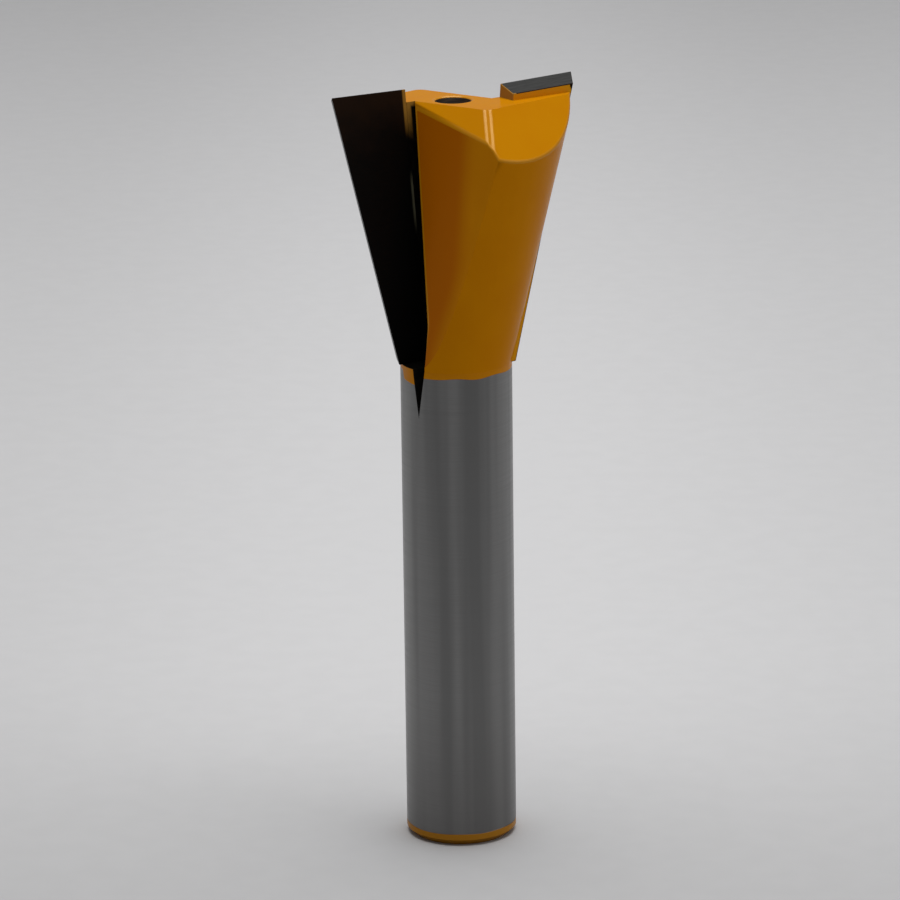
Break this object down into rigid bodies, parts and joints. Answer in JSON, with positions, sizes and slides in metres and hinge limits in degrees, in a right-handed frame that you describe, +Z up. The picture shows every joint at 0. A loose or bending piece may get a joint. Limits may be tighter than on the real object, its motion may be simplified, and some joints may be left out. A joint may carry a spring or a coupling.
{
  "type": "dovetail cutter",
  "caption": "Dovetail router cutter: a ground round shank below a painted flared head with open gullets, and carbide tips brazed into it that cut a slot with sloping sides.",
  "frame": {"origin": "middle of the shank's end, which the cutter stands on", "axes": "+Z up along the axis of rotation, from the shank's end to the cutting end; the tips reach out along -X and +X"},
  "size_m": [0.0188, 0.0156, 0.0554],
  "materials": {
    "painted_steel": "gloss yellow paint on the head and on the shank's end, bare ground steel on the shank",
    "carbide": "dark tungsten carbide, ground on its cutting faces"
  },
  "bodies": {
    "root": {"body": "painted_steel", "carbide_tip_left": "carbide", "carbide_tip_right": "carbide"}
  },
  "joints": []
}
